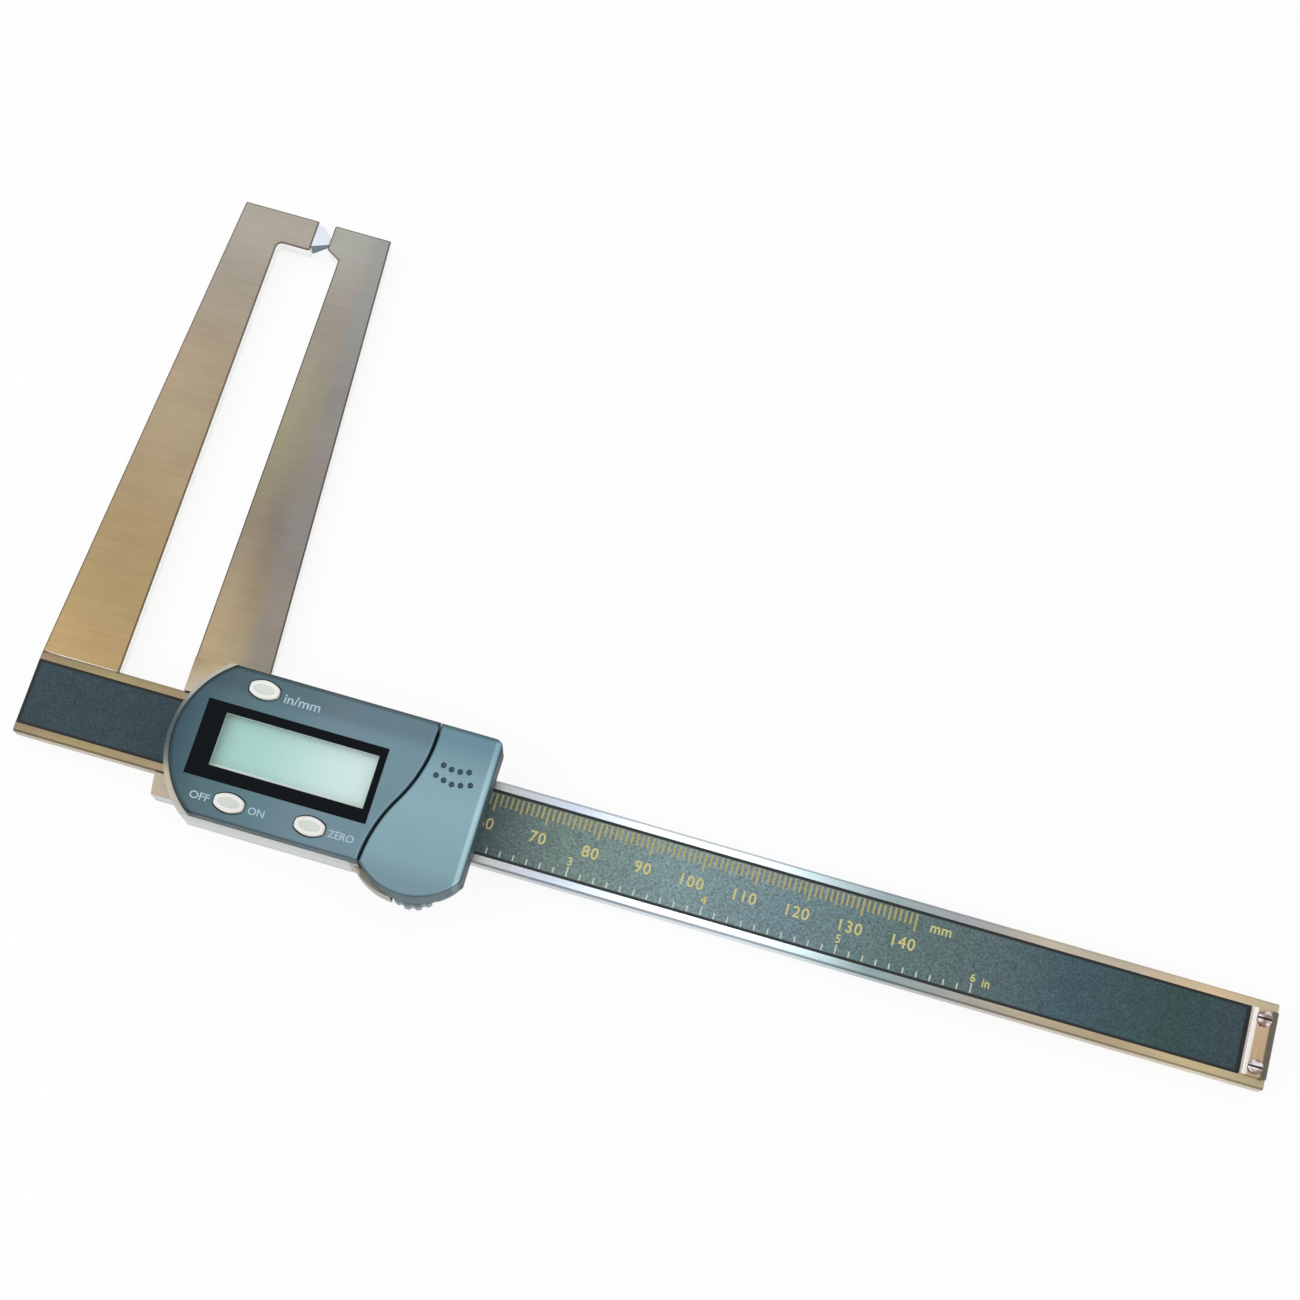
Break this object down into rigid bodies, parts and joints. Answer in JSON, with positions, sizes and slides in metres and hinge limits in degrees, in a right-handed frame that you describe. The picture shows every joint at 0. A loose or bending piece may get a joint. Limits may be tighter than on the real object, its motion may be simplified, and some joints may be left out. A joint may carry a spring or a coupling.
{
  "type": "rotor gauge",
  "caption": "Digital beam caliper with two long hooked jaws that reach past a brake disc's rim to measure its thickness, with a sliding display housing and thumb roller.",
  "frame": {"origin": "middle of the closed gauge's box, on the plane that the slider's back lies on", "axes": "+X along the beam towards its free end, +Y towards the jaw tips, +Z out of the display"},
  "size_m": [0.2366, 0.1256, 0.015],
  "materials": {
    "tan_steel": "ground steel with a warm tan sheen, grain across the blade",
    "hard_steel": "lapped bright measuring tip",
    "frame_steel": "satin ground steel",
    "stop_steel": "bright formed sheet steel",
    "screw_steel": "bright plated screws",
    "black_steel": "blackened set screws",
    "copper_board": "etched copper on board",
    "scale_print": "speckled charcoal printed film",
    "spring_brass": "rolled spring brass",
    "slate_plastic": "fine moulded texture, dark slate blue",
    "light_slate_plastic": "fine moulded texture, lighter slate blue",
    "black_plastic": "glossy black",
    "clear_lens": "clear moulded window",
    "display_glass": "blank reflective display, mint grey",
    "elastomer": "pink silicone strips",
    "green_board": "solder mask",
    "black_epoxy": "epoxy blob",
    "cell_steel": "nickel-plated cell can",
    "grey_roller": "moulded grey wheel with worn teeth",
    "button_plastic": "warm white rubber-touch keys"
  },
  "bodies": {
    "beam": {"beam": "tan_steel", "fixed_jaw": "tan_steel", "contact_tip": "hard_steel", "scale_grating": "copper_board", "scale_label": "scale_print", "end_stop": "stop_steel", "end_stop_screws": "screw_steel"},
    "slider": {"slider_frame": "frame_steel", "back_plate": "frame_steel", "moving_jaw": "tan_steel", "gib": "spring_brass", "gib_screws": "black_steel", "main_cover": "slate_plastic", "bezel": "black_plastic", "display_lens": "clear_lens", "lcd_panel": "display_glass", "zebra_strips": "elastomer", "circuit_board": "green_board", "controller_chip": "black_epoxy", "switch_domes": "stop_steel", "battery": "cell_steel", "positive_contact": "spring_brass", "negative_contact": "spring_brass", "cover_screws": "screw_steel", "roller_axle": "screw_steel"},
    "thumb_roller": {"thumb_roller": "grey_roller"},
    "unit_button": {"unit_button": "button_plastic"},
    "power_button": {"power_button": "button_plastic"},
    "zero_button": {"zero_button": "button_plastic"},
    "battery_cover": {"battery_cover": "light_slate_plastic"}
  },
  "joints": [
    {"name": "slider_slide", "type": "slide", "parent": "beam", "child": "slider", "axis": [1, 0, 0], "range_m": [0, 0.1445]},
    {"name": "roller_spin", "type": "hinge", "parent": "slider", "child": "thumb_roller", "pos_m": [-0.03918, -0.05733, 0.00345], "axis": [0, 0, 1], "range_deg": [0, 1510]},
    {"name": "unit_press", "type": "slide", "parent": "slider", "child": "unit_button", "axis": [0, 0, -1], "range_m": [0, 0.0005], "stiffness_N_per_m": 2000, "springref_m": -0.0002, "deforming": ["switch_domes"]},
    {"name": "power_press", "type": "slide", "parent": "slider", "child": "power_button", "axis": [0, 0, -1], "range_m": [0, 0.0005], "stiffness_N_per_m": 2000, "springref_m": -0.0002, "deforming": ["switch_domes"]},
    {"name": "zero_press", "type": "slide", "parent": "slider", "child": "zero_button", "axis": [0, 0, -1], "range_m": [0, 0.0005], "stiffness_N_per_m": 2000, "springref_m": -0.0002, "deforming": ["switch_domes"]},
    {"name": "battery_cover_slide", "type": "slide", "parent": "slider", "child": "battery_cover", "axis": [1, 0, 0], "range_m": [0, 0.016]}
  ],
  "couplings": [
    {"joint": "roller_spin", "follows": "slider_slide", "rad_per_m": 181.82}
  ]
}
